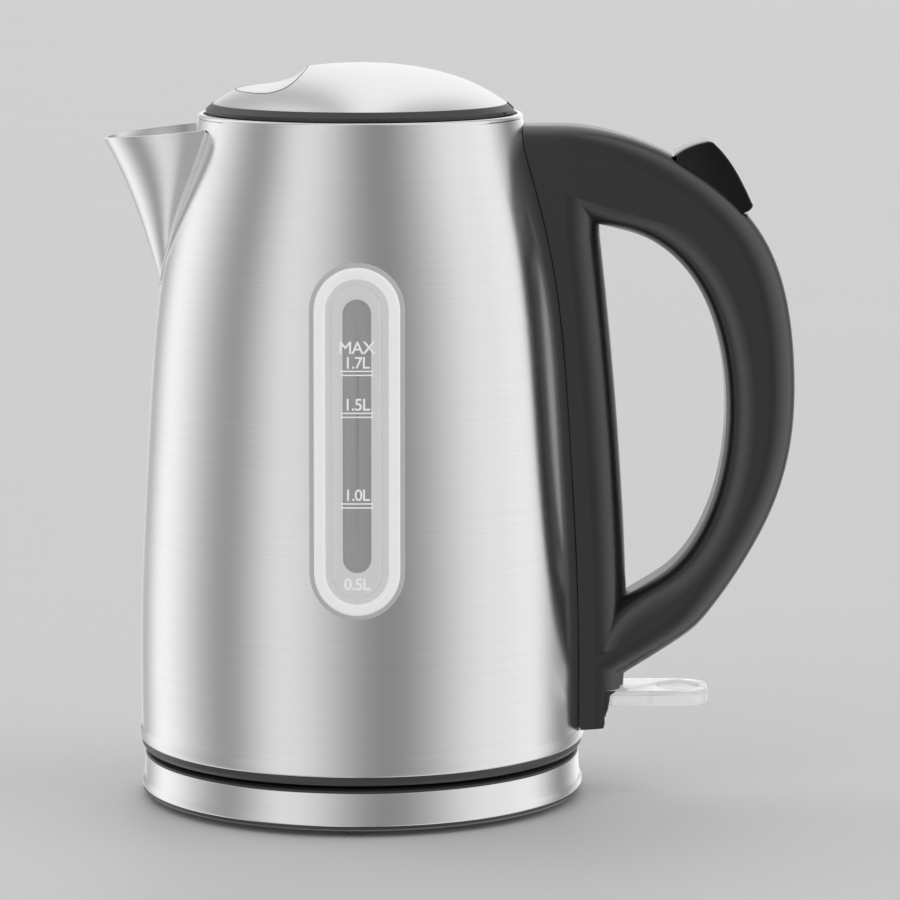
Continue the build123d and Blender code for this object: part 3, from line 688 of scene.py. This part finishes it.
def make_flange():
    """Flange of the spout on the wall, with the soft flare that leads into the cone."""
    steps = 54
    flare, reach, lift = 0.9 * MM, 3.1 * MM, 0.5 * MM
    seam = [spout_side(seam_height(k / steps), 0.0) for k in range(steps + 1)]
    seam = [Vector((p.x, max(p.y, 0.0), p.z)) for p in seam]
    line = [Vector((p.x, -p.y, p.z)) for p in reversed(seam)] + seam[1:]
    rows = []
    for k, p in enumerate(line):
        before, after = line[max(k - 1, 0)], line[min(k + 1, len(line) - 1)]
        along = (after - before).normalized()
        slope = float(WALL.deriv()(p.z))
        normal = Vector((p.x, p.y, -slope * math.hypot(p.x, p.y))).normalized()
        out = normal.cross(along).normalized()
        if out.z > 0 and abs(p.y) < 2 * MM or out.y * p.y < 0:
            out = -out
        nose_way = spout_side(p.z, 0.12)
        nose_way = Vector((nose_way.x, math.copysign(nose_way.y, p.y), p.z)) - p
        rise = (nose_way - along * nose_way.dot(along)).normalized()
        row = []
        for i in range(9):
            t = i / 8
            q = (p + rise * flare) * (1 - t) ** 2 + (p + normal * lift) * 2 * t * (1 - t)
            q += (p + out * flare + normal * lift) * t * t
            row.append(q)
        for i in range(1, 6):
            row.append(round_wall(p + out * (flare + (reach - flare) * i / 5), lift))
        row.append(round_wall(p + out * (reach + 0.25 * MM), lift * 0.6))
        row.append(round_wall(p + out * (reach + 0.3 * MM), -0.1 * MM))
        rows.append(row)
    width = len(rows[0])
    points = [q for row in rows for q in row]
    faces = []
    for k in range(len(rows) - 1):
        for i in range(width - 1):
            a = k * width + i
            faces.append((a, a + 1, a + width + 1, a + width))
    obj = add_object("spout_flange", mesh_of("spout_flange", points, faces), FINISH["steel"], "jug")
    smooth(obj.data, 50)
    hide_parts("spout")


# ---------------------------------------------------------------- base trim
GLAND_Z = 8.6 * MM
GLAND_R = 6.3 * MM


def make_trim_ring():
    low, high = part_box("base_trim_ring")
    top, foot, wide = high.z, low.z, high.x
    waist = (wide - 0.8 * MM, top - 8.2 * MM)
    outside = [(wide - 1.1 * MM, top - 5.6 * MM), waist]
    outside += arc(waist, (wide, top - 9.8 * MM), (wide - 0.4 * MM, foot), 10)[1:]
    lip = arc(*mm([(-1.9, 0), (-1.45, -0.1), (-1.3, -0.5)], wide, top), 4)
    inside = [(wide - 1.3 * MM, foot)] + mm([(-1.7, -8.2), (-2.0, -0.4)], wide, top)
    outline = [(float(r), float(z)) for r, z in lip + outside + inside]
    obj = add_object("trim_band", lathe_mesh("trim_band", outline), FINISH["base_steel"],
                     "power_base")
    cut(obj, prism_y("hole", circle(0.0, GLAND_Z, GLAND_R, GLAND_R, 40), wide - 17 * MM, wide + 13 * MM))
    turned_normals(obj.data, outline, calm=(foot + 0.2 * MM, top - 0.8 * MM))
    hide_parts("base_trim_ring")


# ---------------------------------------------------------------- lid
LID_LOW, LID_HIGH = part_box("lid_shell")
LID_R = LID_HIGH.x
LID_FOOT = LID_LOW.z
# side view (X, Z) of the step at the back of the thumb recess
SCOOP_STEP = [(-34.0, 241.3), (-29.5, 241.7), (-25.3, 242.9), (-22.2, 244.6), (-19.6, 246.8), (-16.2, 250.4)]
RECESS_MIDDLE = Vector((-28 * MM, 0, 0))
CREASE_R = 0.17 * MM
CREASE_GAP = 0.26 * MM
CREASE_SINK = 0.06 * MM


def make_lid():
    curve = lid_curve()
    outline = curve + [(curve[-1][0] - 0.3 * MM, LID_FOOT - 0.0 * MM), (1 * MM, LID_FOOT)]
    outline[0] = (0.05 * MM, outline[0][1])
    obj = add_object("lid_dome", lathe_mesh("lid_dome", outline), FINISH["lid_steel"], "lid")
    cut(obj, scoop_mesh())
    turned_normals(obj.data, outline, 30)
    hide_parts("lid_shell")
    make_crease_shade_line(curve)


def make_crease_shade_line(curve):
    """Painted shade: a fine dark tube laid where the recess meets the dome, standing in for the shade in the
    crease.
    """
    radii = np.array([p[0] for p in curve])
    heights = np.array([p[1] for p in curve])
    step = curve_through([(x * MM, z * MM) for x, z in SCOOP_STEP], 10)
    front = []
    for x, z in step:
        r = float(np.interp(-z, -heights, radii))
        if r > -x:
            front.append(Vector((x, -math.sqrt(r * r - x * x), z)))
    nose = math.hypot(front[0].x, front[0].y)
    low_end = []
    for y in np.linspace(0.0, -front[0].y, 9)[:-1]:
        low_end.append(Vector((-math.sqrt(nose * nose - y * y), -float(y), front[0].z)))
    xs, zs = [p[0] for p in step], [p[1] for p in step]
    top_end = []
    for y in np.linspace(-front[-1].y, 0.0, 9)[1:]:
        low, high = xs[0], xs[-1]
        for _ in range(30):
            x = (low + high) / 2
            if np.interp(x, xs, zs) < np.interp(math.hypot(x, y), radii, heights):
                low = x
            else:
                high = x
        top_end.append(Vector((x, -float(y), float(np.interp(x, xs, zs)))))
    half = []
    for p in low_end + front + top_end:
        away = (Vector((p.x, p.y, 0)) - RECESS_MIDDLE).normalized()
        q = Vector((p.x, p.y, 0)) + away * CREASE_GAP
        q.z = float(np.interp(math.hypot(q.x, q.y), radii, heights)) - CREASE_SINK
        half.append(q)
    loop = half + [Vector((p.x, -p.y, p.z)) for p in reversed(half) if abs(p.y) > 0.1 * MM]
    points, faces, sides = [], [], 6
    for i, p in enumerate(loop):
        along = (loop[(i + 1) % len(loop)] - loop[i - 1]).normalized()
        across = along.cross(Vector((0, 0, 1))).normalized()
        rise = across.cross(along)
        for k in range(sides):
            turn = 2 * math.pi * k / sides
            points.append(p + (across * math.cos(turn) + rise * math.sin(turn)) * CREASE_R)
    for i in range(len(loop)):
        j = (i + 1) % len(loop)
        for k in range(sides):
            m = (k + 1) % sides
            faces.append((i * sides + k, i * sides + m, j * sides + m, j * sides + k))
    obj = add_object("lid_crease_shade", mesh_of("lid_crease_shade", points, faces), FINISH["crease_shade"], "lid")
    smooth(obj.data, 60)


def lid_curve():
    """Outer line of the dome from its crown out, read from the plain back of the CAD lid."""
    tree = tree_of(NODES["lid_shell"])
    radii = np.linspace(0.0, LID_R - 0.5 * MM, 60)
    heights = []
    for r in radii:
        hit = tree.ray_cast(Vector((0.0, float(r), 0.3)), Vector((0, 0, -1)))[0]
        heights.append(hit.z)
    fit = np.polynomial.Polynomial.fit(radii, heights, 6)
    places = np.linspace(0.0, LID_R, 46)
    return [(float(r), float(fit(r))) for r in places]


def scoop_mesh():
    """Closed form of the thumb recess on the lid's spout side, run straight across."""
    line = curve_through([(x * MM, z * MM) for x, z in SCOOP_STEP], 6)
    outline = [(-60 * MM, 241.0 * MM)] + line + [(-14 * MM, 262 * MM), (-60 * MM, 262 * MM)]
    return prism_y("scoop", outline, -0.05, 0.05)


# ---------------------------------------------------------------- water window
def window_ring(radius, lift):
    """Ring of points round the window; near the sight slot it is shorter at its lower end."""
    near = min(max((RIB_R - radius) / (RIB_R - SLOT_R - 0.8 * MM), 0.0), 1.0)
    half = WINDOW_HALF - near * (SLOT_RAISE + SLOT_DROP) / 2
    middle = WINDOW_Z + near * (SLOT_RAISE - SLOT_DROP) / 2
    return [wall_point(x, middle + z, lift) for x, z in slot_outline(half, radius)]


def slot_moulding(name, section, material, closed=False):
    """Moulding laid round the window's slot on the wall, from a section of (radius, lift) points."""
    rings = [window_ring(radius, lift) for radius, lift in section]
    count = len(rings[0])
    faces = []
    for a in range(len(rings) if closed else len(rings) - 1):
        b = (a + 1) % len(rings)
        faces += [(a * count + i, a * count + (i + 1) % count, b * count + (i + 1) % count, b * count + i)
                  for i in range(count)]
    mesh = mesh_of(name, [p for ring in rings for p in ring], faces)
    smooth(mesh, 35)
    return add_object(name, mesh, material, "jug")


def make_window():
    gasket = mm([(-0.05, -0.1)], GASKET_R)
    gasket += arc(*mm([(0, 0.05), (-0.35, 0.55), (-0.8, 0.7)], GASKET_R), 5)
    gasket += mm([(0.25, 0.62), (0.1, 0.2), (0.1, -0.1)], FRAME_R)
    seal = slot_moulding("window_seal", gasket, FINISH["silicone"], closed=True)
    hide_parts("window_gasket")
    surround = mm([(0, -0.2), (0, 0.9)], FRAME_R)
    surround += arc(*mm([(0, 0.9), (-0.35, 1.6), (-1.1, 1.9)], FRAME_R), 6)[1:]
    surround += mm([(-2.4, 1.75)], FRAME_R) + mm([(0.5, 1.25), (0.1, 0.9), (0, 0.5), (0, -1.6)], PANE_R)
    surround += mm([(-2.3, -1.6), (-2.3, -0.2)], FRAME_R)
    ring = slot_moulding("window_surround", surround, FINISH["frame_plastic"], closed=True)
    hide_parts("window_frame")
    bed_section = mm([(-0.02, -1.4), (-0.02, 0.35)], PANE_R)
    bed_section += mm([(0.5, 0.1), (0.25, -0.35), (-0.05, -0.35), (-0.3, 0.15), (-0.9, 0.45)], RIB_R)
    bed_section += mm([(0.7, 0.6), (0.1, 0.35), (0, -1.4)], SLOT_R)
    bed = slot_moulding("window_bed", bed_section, FINISH["clear_plastic"], closed=True)
    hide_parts("window_pane")
    make_sight_strip()
    make_scale()


def make_sight_strip():
    """Strip in the slot, through which the water shows on the real kettle; here opaque grey plastic whose
    grey is painted shade for the darker inside, with a painted glow.
    """
    edge = SLOT_R + 0.01 * MM
    crown = [(edge, -0.7 * MM), (SLOT_R * 0.55, -0.45 * MM), (SLOT_R * 0.12, -0.4 * MM)]
    rows = [window_ring(radius, lift) for radius, lift in crown]
    count = len(rows[0])
    points = [p for row in rows for p in row]
    faces = []
    for a in (0, count):
        faces += [(a + i, a + (i + 1) % count, a + count + (i + 1) % count, a + count + i)
                  for i in range(count)]
    faces.append(tuple(range(2 * count, 3 * count)))
    back = len(points)
    points += window_ring(edge, -1.4 * MM)
    faces += [(i, (i + 1) % count, back + (i + 1) % count, back + i) for i in range(count)]
    faces.append(tuple(range(back, back + count)))
    mesh = mesh_of("sight_strip", points, faces)
    smooth(mesh, 35)
    strip = add_object("sight_strip", mesh, FINISH["sight_shade_plastic"], "jug")
    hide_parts("window_pane")


def on_wall(mesh, x, z, lift):
    """Lays a flat mesh, drawn in X and Z about (0, 0) with its thickness in Y, on the front wall."""
    for v in mesh.vertices:
        v.co = wall_point(x + v.co.x, z + v.co.z, lift - v.co.y)


def make_text(words, height, z):
    font = bpy.data.curves.new("scale_text", "FONT")
    font.body = words
    font.align_x = "CENTER"
    font.size = height / 0.7
    font.space_character = 0.92
    font.extrude = 0.10 * MM
    font.bevel_depth = 0.05 * MM
    font.bevel_resolution = 0
    font.resolution_u = 4
    holder = bpy.data.objects.new("scale_text", font)
    scene.collection.objects.link(holder)
    bpy.context.view_layer.update()
    mesh = bpy.data.meshes.new_from_object(holder.evaluated_get(bpy.context.evaluated_depsgraph_get()))
    bpy.data.objects.remove(holder)
    for v in mesh.vertices:
        v.co = Vector((v.co.x, -v.co.z, v.co.y))
    on_wall(mesh, 0.0, z, 0.75 * MM)
    name = "scale_" + words.replace(".", "_")
    return add_object(name, mesh, FINISH["scale_white"], "jug")


def make_bar(name, z, half, thick):
    """Fine level line across the sight strip."""
    n = 10
    xs = [half * (2 * i / n - 1) for i in range(n + 1)]
    points = []
    for y in (-0.12 * MM, 0.12 * MM):
        for dz in (-thick / 2, thick / 2):
            points += [(x, y, dz) for x in xs]
    m = n + 1
    faces = []
    for i in range(n):
        faces += [(i, i + 1, m + i + 1, m + i), (2 * m + i, 2 * m + i + 1, 3 * m + i + 1, 3 * m + i)]
        faces += [(i, i + 1, 2 * m + i + 1, 2 * m + i), (m + i, m + i + 1, 3 * m + i + 1, 3 * m + i)]
    faces += [(0, m, 3 * m, 2 * m), (n, m + n, 3 * m + n, 2 * m + n)]
    mesh = mesh_of(name, points, faces)
    on_wall(mesh, 0.0, z, 0.75 * MM)
    return add_object(name, mesh, FINISH["scale_white"], "jug")


def make_scale():
    """Plain litre marks."""
    for words, z, height in (("MAX", 159.5, 4.0), ("1.7L", 154.8, 3.7), ("1.5L", 141.2, 3.8),
                             ("1.0L", 111.8, 3.7), ("0.5L", 82.6, 3.8)):
        make_text(words, height * MM, z * MM)
    for name, z in (("line_1_7", 153.2), ("line_1_5", 139.6), ("line_1_0", 110.1)):
        make_bar(name + "_a", (z + 0.65) * MM, 5.2 * MM, 0.42 * MM)
        make_bar(name + "_b", (z - 0.65) * MM, 5.2 * MM, 0.42 * MM)


# ---------------------------------------------------------------- button and lever
def make_button():
    """Wedge-shaped release button with a rounded crown and a small lip at its lower end."""
    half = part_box("lid_button")[1].y
    crown = curve_through([(118.9, 223.6), (122.4, 219.9), (126.0, 214.9), (129.3, 208.9), (131.9, 203.4)], 6)
    front = curve_through([(106.2, 219.4), (109.2, 221.4), (113.0, 223.0), (117.4, 224.1)], 4)
    lip = [(132.5, 202.3), (131.2, 200.6), (128.2, 199.6)]
    under = [(121.0, 202.0), (110.0, 208.6), (105.6, 211.4)]
    outline = mm(front + crown + lip + under)
    obj = add_object("button_cap", prism_y("button_cap", outline, -half, half), FINISH["button_plastic"],
                     "release_button")
    bevel(obj, 0.7 * MM, 3, 28)
    smooth(obj.data, 40)
    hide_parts("lid_button")


def make_lever():
    """Clear switch paddle: a thin-walled tray upside down, with an oval finger dish and ribs."""
    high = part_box("switch_lever")[1]
    top, foot = high.z - 0.6 * MM, high.z - 5.5 * MM
    half, end, root = high.y - 2.5 * MM, high.x, 84.2 * MM
    corner = 10.0 * MM
    inset_45 = corner * 0.293
    turn = arc((end - corner, half), (end - inset_45, half - inset_45), (end, half - corner), 10)
    plan = [(root, -half)] + [(x, -y) for x, y in turn]
    plan += turn[::-1] + [(root, half)]
    obj = add_object("lever_paddle", plate_mesh("lever_paddle", plan, foot, top), FINISH["clear_lever"],
                     "switch")
    inner = inset(plan, 1.5 * MM)
    cut(obj, plate_mesh("hollow", inner, foot - 1 * MM, top - 1.7 * MM))
    dish = circle(108.4 * MM, 0.0, 7.4 * MM, 8.6 * MM, 48)
    cut(obj, plate_mesh("dish", dish, top - 0.8 * MM, top + 2 * MM))
    bevel(obj, 0.35 * MM, 2, 40)
    smooth(obj.data, 40)
    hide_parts("switch_lever")
    ribs = [(98.6, 99.6, -11.2, 11.2), (88.0, 117.2, -4.9, -4.1), (88.0, 117.2, 4.1, 4.9)]
    for k, (x0, x1, y0, y1) in enumerate(ribs):
        rib_plan = mm([(x0, y0), (x1, y0), (x1, y1), (x0, y1)])
        rib_mesh = plate_mesh("rib", rib_plan, foot + 0.3 * MM, top - 1.75 * MM)
        rib = add_object("lever_rib_%d" % (k + 1), rib_mesh, FINISH["clear_lever"], "switch")
        bevel(rib, 0.12 * MM, 2, 40)
        smooth(rib.data, 40)
    neck_plan = mm([(76.5, -9.4), (87.4, -9.4), (87.4, 9.4), (76.5, 9.4)])
    neck = add_object("lever_neck", plate_mesh("lever_neck", neck_plan, foot + 0.4 * MM, top - 0.7 * MM),
                      FINISH["clear_lever"], "switch")
    bevel(neck, 0.4 * MM, 3, 40)
    smooth(neck.data, 40)


def make_cheeks():
    """Side cheeks of the handle's foot, which hide the root of the switch paddle."""
    side = [(78.0, 37.0), (87.0, 37.0), (84.9, 35.6), (84.2, 30.8), (81.6, 24.4), (78.0, 24.2)]
    outline = mm(side)
    for name, y0, y1 in (("foot_cheek_front", -14.6, -13.1), ("foot_cheek_back", 13.1, 14.6)):
        obj = add_object(name, prism_y(name, outline, y0 * MM, y1 * MM), FINISH["black_plastic"],
                         "jug")
        bevel(obj, 0.5 * MM, 3, 30)
        smooth(obj.data, 40)


COIL_TURNS = 5
COIL_R = 4.6 * MM
WIRE_R = 0.4 * MM


def make_latch_spring():
    """Spring of the latch, a coil of wire along X; it keeps its length here, though the real one shortens as
    the button goes in.
    """
    low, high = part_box("latch_spring")
    length = high.x - low.x - 2 * WIRE_R
    height = (low.z + high.z) / 2
    steps, sides = COIL_TURNS * 24, 8
    points, faces = [], []
    for i in range(steps + 1):
        turn = 2 * math.pi * COIL_TURNS * i / steps
        out = Vector((0, math.cos(turn), math.sin(turn)))
        middle = Vector((low.x + WIRE_R + length * i / steps, 0, height)) + out * COIL_R
        for k in range(sides):
            a = 2 * math.pi * k / sides
            points.append(middle + (out * math.cos(a) + Vector((1, 0, 0)) * math.sin(a)) * WIRE_R)
    for i in range(steps):
        for k in range(sides):
            m = (k + 1) % sides
            faces.append((i * sides + k, i * sides + m, (i + 1) * sides + m, (i + 1) * sides + k))
    faces += [tuple(range(sides)), tuple(range(steps * sides, (steps + 1) * sides))]
    obj = add_object("latch_coil", mesh_of("latch_coil", points, faces), FINISH["plain_steel"],
                     "jug")
    smooth(obj.data, 60)
    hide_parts("latch_spring")
    length = high.x - low.x
    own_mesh(obj)


def inset(plan, gap):
    """The (X, Y) outline moved inwards."""
    centre = Vector((sum(p[0] for p in plan) / len(plan), sum(p[1] for p in plan) / len(plan)))
    wide = max(abs(p[0] - centre.x) for p in plan)
    tall = max(abs(p[1] - centre.y) for p in plan)
    return [(centre.x + (p[0] - centre.x) * (1 - gap / wide), centre.y + (p[1] - centre.y) * (1 - gap / tall))
            for p in plan]


def plate_mesh(name, plan, z0, z1):
    """Closed plate of an (X, Y) outline between two heights."""
    n = len(plan)
    points = [(x, y, z0) for x, y in plan] + [(x, y, z1) for x, y in plan]
    faces = [tuple(range(n)), tuple(range(n, 2 * n))]
    faces += [(i, (i + 1) % n, n + (i + 1) % n, n + i) for i in range(n)]
    return mesh_of(name, points, faces)


# ---------------------------------------------------------------- build
def make_finishes():
    steel = brushed_steel("steel", 0.80, 0.2)
    return {
        "steel": steel,
        "base_steel": steel,
        "lid_steel": satin_steel("lid_steel", 0.82, 0.22),
        # painted shade: near-black metal for the dark line laid along the lid's crease
        "crease_shade": bare_metal("crease_shade", grey(0.10), 0.4),
        "black_plastic": moulded_plastic("black_plastic", grey(0.011), 0.25, specular=1.0),
        "button_plastic": moulded_plastic("button_plastic", grey(0.002), 0.12, grain=0.01, specular=0.4),
        "dark_plastic": moulded_plastic("dark_plastic", (0.055, 0.055, 0.056, 1), 0.38),
        "inner_plastic": moulded_plastic("inner_plastic", grey(0.10), 0.5),
        # painted_glow makes the window, scale, seal and lever plastics emit light though they are no lamps:
        # painted glow
        "frame_plastic": moulded_plastic("frame_plastic", grey(0.88), 0.25, grain=0.01, painted_glow=0.30),
        "scale_white": moulded_plastic("scale_white", grey(0.88), 0.5, grain=0.01, painted_glow=0.30),
        "clear_plastic": moulded_plastic("clear_plastic", grey(0.74), 0.15, grain=0.01, painted_glow=0.20),
        # painted shade: mid grey standing in for the darker inside seen through the clear strip, plus a
        # painted glow
        "sight_shade_plastic": moulded_plastic("sight_shade_plastic", grey(0.42), 0.12, grain=0.01, painted_glow=0.10),
        # the last number is the lever's painted glow
        "clear_lever": clear_plastic("clear_lever", grey(0.98), 0.03, 0.75, 0.07),
        "silicone": moulded_plastic("silicone", grey(0.62), 0.35, painted_glow=0.06),
        "rubber": moulded_plastic("rubber", grey(0.07), 0.6),
        "plain_steel": bare_metal("plain_steel", grey(0.6), 0.3),
        "brass": bare_metal("brass", (0.75, 0.58, 0.27, 1), 0.3),
    }


make_camera()
make_stage()
make_light()
FINISH = make_finishes()
for part in frame["record"]["subparts"]:
    dress(NODES[part["node"]], FINISH[part["material_slot"]])
make_vessel()
make_spout()
make_trim_ring()
make_lid()
make_window()
make_button()
make_lever()
make_cheeks()
make_latch_spring()
